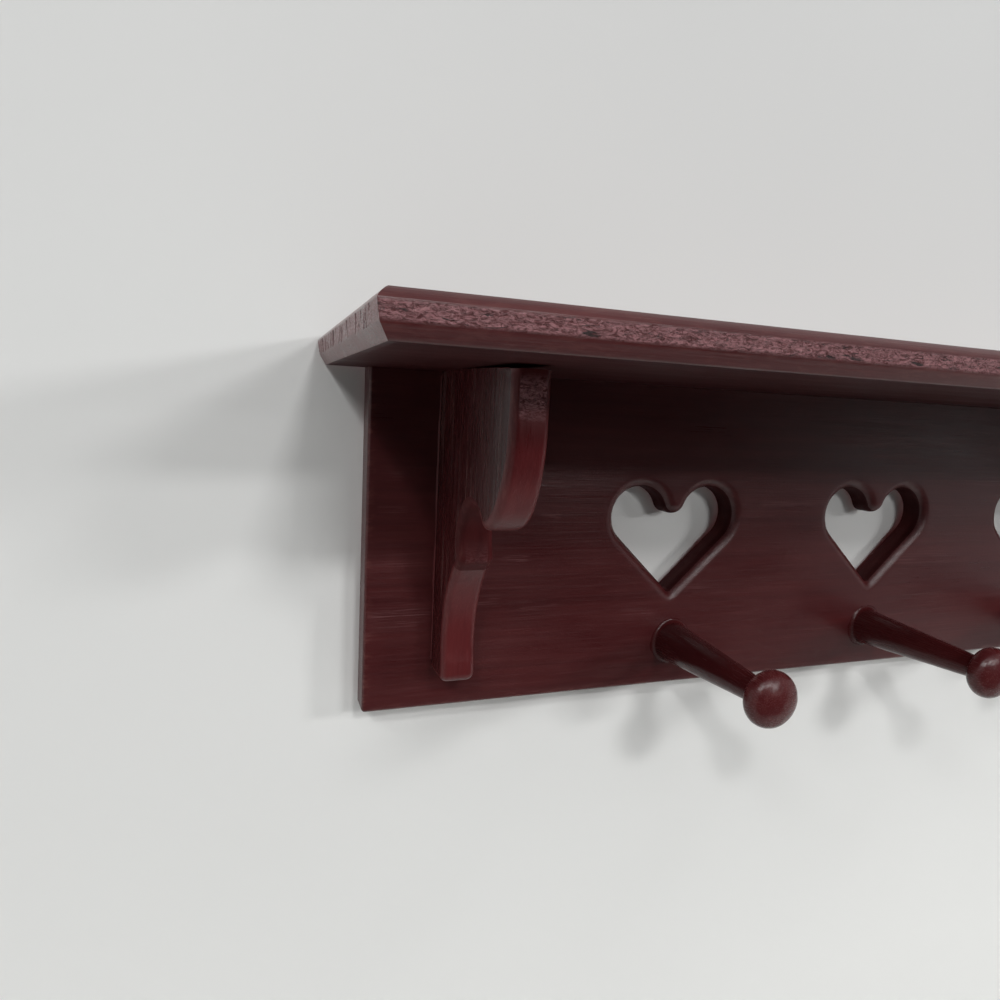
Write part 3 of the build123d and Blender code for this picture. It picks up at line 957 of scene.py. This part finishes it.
def make_bracket(name, side, materials, seed):
    shell = Shell()
    reach = -(bracket_low[1] - rail_front)
    height = bracket_high[2] - bracket_low[2]
    half = bracket_half
    outline = bracket_outline(reach, height)

    def stand(flat, x):
        """The outline stood up at x from the bracket's middle, with the crack above it."""
        forward, up = flat[:, 0], flat[:, 1]
        opened = np.clip((forward - CRACK_FROM) / (reach - CRACK_FROM), 0, 1) ** CRACK_POWER
        up = up - CRACK_WIDTH * opened * np.clip(1 + up / CRACK_FADE, 0, 1)
        across = np.full(len(flat), side * bracket_x + x)
        return np.stack([across, rail_front - forward, rail_top + up], 1)

    rows = [(inset, -half + sink) for inset, sink in quarter(BRACKET_ROUND, 10)]
    rows += [(0, x) for x in np.linspace(-half + BRACKET_ROUND, half - BRACKET_ROUND, 8)[1:-1]]
    rows += [(inset, half - sink) for inset, sink in reversed(quarter(BRACKET_ROUND, 10))]
    edge = outline.out.any(1)
    forward, up = outline.points.T
    top_grain = np.clip(1 - np.abs(up + 10) / 9, 0, 1) * (outline.out[:, 0] > 0.9)
    crest_grain = np.clip(1 - np.abs(up + COVE_DROP + 9) / 7, 0, 1) * (outline.out[:, 1] > -0.5)
    rings = []
    for inset, x in rows:
        wear = 0.5 * edge * (0.3 < inset < 2.2)
        raw = (inset == 0) * edge * np.clip(1.3 * top_grain + 0.2 * crest_grain, 0, 1)
        rings.append(shell.ring(stand(outline.inset(inset), x), wear, raw))
    in_cove = edge & (up < -50) & (up > -COVE_DROP - COVE_RADIUS) & (forward < reach - 28)
    # painted light and painted shade by coat: the front and edges lighter, the cove a little
    # lighter, the sawn sides darker
    shell.coat = np.where(in_cove & np.roll(in_cove, -1), COVE, SMOOTH_LIT)
    shell.strips(rings)
    shell.coat = SAWN_SHADE
    for ring in (rings[0], rings[-1]):
        shell.fill(ring, [], FLAT_YZ, (2.2, 2.6))
    shell.coat = SMOOTH_LIT
    for hand in (-1, 1):
        x = side * bracket_x + hand * half
        start, end = (x, rail_front, rail_top - 2), (x, rail_front, rail_top - height + 5)
        path, sizes = bead_path(start, end, seed + hand + 60, BRACKET_BEAD)
        shell.bead(path, (hand, 0, 0), (0, -1, 0), sizes)
    paint = brushed(BRACKET_UNEVEN, (9, 16, 45), seed)

    def relief(points, outwards, marks):
        sides = np.abs(outwards[:, 0])
        lines = noise_at(points, (4, 2.3, 60), seed + 3)
        torn = np.clip(0.5 + 0.9 * noise_at(points, (1.6, 1.6, 1.0), seed + 9), 0, 1)
        depth = paint(points) + BRACKET_TORN * marks["raw"] * torn
        past = (rail_front - points[:, 1] - SANDED_FROM) / SANDED_RUN
        sanded = SANDED_DEPTH * np.clip(past, 0, 1) ** 2
        return depth + sides * (sanded + BRACKET_SAW_LINES * np.clip(0.5 + 0.5 * lines, 0, 1))

    return shell.piece(name + "_painted", materials, relief, [name], "bracket_paint", 45)


# ---------------------------------------------------------------- pegs


def peg_profile():
    """(radius, distance from the rail's face) from the foot to the crown.

    Also gives the number of rows up to the neck, and how far out the crown comes."""
    foot = PEG_BASE + PEG_FLARE
    side = PEG_HEAD - PEG_HEAD_SIDE
    flat = PEG_HEAD_HALF - PEG_HEAD_SIDE
    crown_radius = PEG_HEAD_SIDE + (side**2 + flat**2) / (2 * flat)
    crown_centre = PEG_HEAD_CENTRE + PEG_HEAD_HALF - crown_radius
    turn = atan2(PEG_HEAD_CENTRE - crown_centre, side)
    neck_angle = acos((PEG_NECK - side) / PEG_HEAD_SIDE)
    neck = PEG_HEAD_CENTRE - PEG_HEAD_SIDE * sin(neck_angle)
    rows = [(foot, -PEG_SINK), (foot, 0.0)]
    for a in np.linspace(1.5 * pi, pi, 9)[1:]:
        rows.append((foot + PEG_FLARE * cos(a), PEG_FLARE + PEG_FLARE * sin(a)))
    knots = np.array([PEG_FLARE, neck / 2, neck])
    radii = np.array([PEG_BASE, PEG_MIDDLE, PEG_NECK])
    bend = np.polyfit(knots, radii, 2)
    for d in np.linspace(PEG_FLARE, neck, 60)[1:]:
        rows.append((np.polyval(bend, d), d))
    neck_rows = len(rows)
    for a in np.linspace(-neck_angle, turn, 34)[1:]:
        rows.append((side + PEG_HEAD_SIDE * cos(a), PEG_HEAD_CENTRE + PEG_HEAD_SIDE * sin(a)))
    for a in np.linspace(turn, pi / 2, 18)[1:-1]:
        rows.append((crown_radius * cos(a), crown_centre + crown_radius * sin(a)))
    return rows, neck_rows, crown_centre + crown_radius


def make_peg(name, step, materials, seed):
    shell = Shell()
    x, z = step * PEG_PITCH, (peg_low[2] + peg_high[2]) / 2
    rows, neck_rows, tip = peg_profile()
    around = np.linspace(0, 2 * pi, PEG_SIDES + 1)[:-1]
    rings = []
    for radius, along in rows:
        flat = np.stack([x + radius * np.cos(around), z + radius * np.sin(around)], 1)
        head = along > PEG_HEAD_CENTRE - 2
        rings.append(shell.ring(upright(flat, rail_front - along), 0.45 * head, 0.04 * head))
    # painted shade: the shank takes a darker copy of the paint than the head
    shell.coat = SHANK_SHADE
    shell.strips(rings[: neck_rows + 1])
    shell.coat = HEAD
    shell.strips(rings[neck_rows:])
    shell.fan(rings[0], (x, rail_front + PEG_SINK, z))
    shell.fan(rings[-1], (x, rail_front - tip, z))
    paint = brushed(PEG_UNEVEN, (7, 14, 7), seed)

    def relief(points, outwards, marks):
        chatter = noise_at(points * (0, 1, 0), (5, 2.2, 5), seed + 5)
        dents = np.clip(noise_at(points, (2.1, 2.1, 2.1), seed + 6), 0, 1) * (marks["raw"] > 0)
        turned = PEG_CHATTER * np.clip(0.5 + 0.5 * chatter, 0, 1)
        return paint(points) + turned + PEG_DENTS * dents

    return shell.piece(name + "_painted", materials, relief, [name], "peg_paint", 60)


# ---------------------------------------------------------------- stage, light and camera

WALL_GAP = 0.0025
WALL_HALF, WALL_TOP = 2.5, 2.2
FLOOR_HEIGHT = -0.6
# the dark cloth in front, which only reflections see
FLAG_LEFT, FLAG_RIGHT, FLAG_FRONT, FLAG_TOP = -0.55, 0.5, -0.55, 0.1

WORLD_LIGHT = 0.025
WORLD_SEEN = 0.48
LAMP_DISTANCE = 2.2
LAMP_TARGET = Vector((-0.15, -0.05, -0.05))
# name: degrees right of straight ahead, degrees up, width and height in metres, share of the
# light, and whether it is mirrored too
LAMPS = {
    "near_row": (3, 32.0, 0.30, 0.16, 0.19, True),
    "near_high": (0, 41.5, 0.60, 0.16, 0.02, True),
    "far_row": (23, 18.5, 0.45, 0.12, 0.15, True),
    "last_row": (26, 9.5, 0.70, 0.06, 0.03, False),
    "right_row": (55, 15, 0.36, 0.22, 0.13, False),
    "right_high": (58, 41, 0.40, 0.24, 0.02, False),
    "left_panel": (-32, 35, 0.20, 0.14, 0.13, True),
    "left_row": (-51, 39.5, 0.60, 0.26, 0.06, True),
    "overhead": (-26, 54, 1.0, 0.24, 0.02, True),
    "right_table": (52, -21, 0.50, 0.36, 0.10, False),
    "behind": (180, 20, 0.6, 0.4, 0.6, False),
}

CAMERA_PLACE = (-0.33766, -0.30772, 0.01292)
CAMERA_YAW, CAMERA_PITCH, CAMERA_ROLL = radians(20.107), radians(-7.624), radians(2.841)
CAMERA_LENS, CAMERA_SENSOR, CAMERA_CLIP = 24.997, 36.0, 0.01


def plane(name, corners, material):
    mesh = bpy.data.meshes.new(name)
    mesh.from_pydata(corners, [], [tuple(range(len(corners)))])
    mesh.materials.append(material)
    piece = bpy.data.objects.new(name, mesh)
    bpy.context.scene.collection.objects.link(piece)
    return piece


def upright_corners(left, right, y, top):
    """Corners of a sheet that stands on the floor and faces the front."""
    return [(left, y, FLOOR_HEIGHT), (right, y, FLOOR_HEIGHT), (right, y, top), (left, y, top)]


def wall_material():
    """Pale wall that can be looked through from behind, and lit through from there."""
    n = Nodes("pale_wall")
    where = n.where()
    cloud = n.noise(where, (3, 3, 3))
    # painted shade: the wall's colour darkens towards the top
    height = n.new("SeparateXYZ", {0: where}).outputs["Z"]
    high = n.math("ADD", n.span(height, -0.35, 0.35), n.span(cloud, 0.3, 0.7, -0.05, 0.05))
    matt = n.new("BsdfDiffuse", {"Color": n.mix(high, WALL_LOW_LIT, WALL_HIGH_SHADE)})
    clear = n.new("BsdfTransparent")
    solid = n.math("SUBTRACT", 1.0, n.new("LightPath").outputs["Is Shadow Ray"])
    front = n.math("SUBTRACT", 1.0, n.new("NewGeometry").outputs["Backfacing"])
    shown = n.math("MULTIPLY", solid, front)
    return n.output(n.new("MixShader", {0: shown, 1: clear.outputs[0], 2: matt.outputs[0]}))


def flag_material():
    n = Nodes("dark_cloth")
    fold = n.noise(n.where(), (9, 9, 9))
    return n.output(n.new("BsdfDiffuse", {"Color": n.mix(fold, CLOTH_DARK, CLOTH_PALE)}))


def floor_material():
    n = Nodes("pale_floor")
    cloud = n.span(n.noise(n.where(), (4, 4, 4), detail=3.0), 0.3, 0.7)
    return n.output(n.new("BsdfDiffuse", {"Color": n.mix(cloud, FLOOR_DARK, FLOOR_PALE)}))


def pale_world():
    """A pale surround for what is looked at or mirrored, and a dimmer one for light."""
    world = bpy.data.worlds.new("pale_room")
    world.use_nodes = True
    tree = world.node_tree
    ray = tree.nodes.new("ShaderNodeLightPath")
    seen = ray.outputs["Is Camera Ray"]
    for kind in ("Is Glossy Ray", "Is Transmission Ray"):
        either = tree.nodes.new("ShaderNodeMath")
        either.operation = "MAXIMUM"
        tree.links.new(seen, either.inputs[0])
        tree.links.new(ray.outputs[kind], either.inputs[1])
        seen = either.outputs[0]
    strength = tree.nodes.new("ShaderNodeMapRange")
    strength.inputs["To Min"].default_value = WORLD_LIGHT
    strength.inputs["To Max"].default_value = WORLD_SEEN
    tree.links.new(seen, strength.inputs["Value"])
    background = tree.nodes["Background"]
    background.inputs["Color"].default_value = SKY
    tree.links.new(strength.outputs["Result"], background.inputs["Strength"])
    bpy.context.scene.world = world


def lamp_at(name, right, up, width, height, share, mirrored):
    """An area lamp whose light on the wall is this share of what makes white paint white."""
    right, up = radians(right), radians(up)
    towards = Vector((sin(right) * cos(up), -cos(right) * cos(up), sin(up)))
    data = bpy.data.lights.new(name, "AREA")
    data.shape = "RECTANGLE"
    data.size, data.size_y = width, height
    data.energy = abs(share * pi * pi * LAMP_DISTANCE**2 / towards.y)
    lamp = bpy.data.objects.new(name, data)
    bpy.context.scene.collection.objects.link(lamp)
    lamp.location = LAMP_TARGET + towards * LAMP_DISTANCE
    lamp.rotation_euler = (-towards).to_track_quat("-Z", "Y").to_euler()
    lamp.visible_camera = False
    lamp.visible_glossy = mirrored


def set_stage():
    half = WALL_HALF
    plane("wall", upright_corners(-half, half, WALL_GAP, WALL_TOP), wall_material())
    turns = ((-half, -half), (half, -half), (half, half), (-half, half))
    plane("floor", [(x, y, FLOOR_HEIGHT) for x, y in turns], floor_material())
    corners = upright_corners(FLAG_LEFT, FLAG_RIGHT, FLAG_FRONT, FLAG_TOP)
    flag = plane("flag", corners, flag_material())
    flag.visible_camera = False
    flag.visible_shadow = False
    pale_world()
    for name, lamp in LAMPS.items():
        lamp_at(name, *lamp)


def set_camera():
    """Handheld view from the left of the rail, level with the wall screws and a little rolled."""
    yaw, pitch, roll = CAMERA_YAW, CAMERA_PITCH, CAMERA_ROLL
    forward = Vector((sin(yaw) * cos(pitch), cos(yaw) * cos(pitch), sin(pitch)))
    right = Vector((cos(yaw), -sin(yaw), 0))
    up = right.cross(forward)
    side = cos(roll) * right + sin(roll) * up
    top = -sin(roll) * right + cos(roll) * up
    data = bpy.data.cameras.new("camera")
    data.sensor_width, data.lens, data.clip_start = CAMERA_SENSOR, CAMERA_LENS, CAMERA_CLIP
    camera = bpy.data.objects.new("camera", data)
    bpy.context.scene.collection.objects.link(camera)
    turned = Matrix((side, top, -forward)).transposed().to_4x4()
    camera.matrix_world = Matrix.Translation(CAMERA_PLACE) @ turned
    bpy.context.scene.camera = camera
    bpy.context.scene.view_settings.view_transform = "Standard"


# ---------------------------------------------------------------- everything together

face = painted("rail_paint", "X", 1)
# painted shade: the hearts' insides and the bead under the shelf take a copy of the paint darkened
# to 0.6
heart_inside_shade = painted("heart_inside_shade_paint", "X", 1, gloss=0.6, shine=0.12, tint=0.6)
make_rail([face, heart_inside_shade])
# painted light: the board's coat is lightened to 1.15, and the ends' to 1.7 as a painted
# reflection
board = painted("shelf_paint", "X", 2, tint=1.15)
# painted shade: a copy of the shelf's paint darkened to 0.6 for the underside
underside = painted("shelf_under_shade_paint", "X", 2, gloss=0.5, shine=0.15, tint=0.6)
ends = painted("shelf_end_lit_paint", "X", 3, streak=0.7, gloss=0.27, shine=0.7, tint=1.7)
top_face = painted("shelf_top_paint", "X", 2, gloss=0.52, shine=0.25)
make_shelf([board, underside, ends, top_face])
for hand, side in PAIR.items():
    name, seed = f"{hand}_bracket", 4 + side
    # painted light and shade: the front and edges are lightened to 1.6, the cove to 1.1, the sawn
    # sides darkened to 0.85
    smooth = painted(f"{name}_paint", "Z", seed, shine=0.26, tint=1.6)
    sawn = painted(f"{name}_sawn_shade_paint", "Z", seed, saw=1.0, gloss=0.24, shine=0.32, tint=0.85)
    cove = painted(f"{name}_cove_paint", "Z", seed, gloss=0.55, shine=0.12, tint=1.1)
    make_bracket(name, side, [smooth, sawn, cove], 20 + side)
for place, step in TRIO.items():
    name, seed = f"{place}_peg", 8 + step
    # painted light and shade: the head's coat is lightened to 1.1 and the shank's darkened to 0.8
    head = painted(f"{name}_paint", "Y", seed, streak=0.6, gloss=0.23, shine=0.36, tint=1.1)
    shank = painted(f"{name}_shank_shade_paint", "Y", seed, streak=0.3, gloss=0.24, shine=0.22, tint=0.8)
    make_peg(name, step, [head, shank], 30 + step)
for index, (name, node) in enumerate(sorted(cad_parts.items())):
    if name.endswith("_plug"):
        material = painted(name + "_paint", "X", 12 + index)
    elif "hanger" in name:
        material = steel(name + "_zinc", index, ZINC, gloss=0.30)
    elif name.endswith("_screw"):
        material = steel(name + "_steel", index, PLAIN_STEEL, gloss=0.38, swirl=0.6)
    else:
        continue
    node.data.materials.clear()
    node.data.materials.append(material)
set_stage()
set_camera()
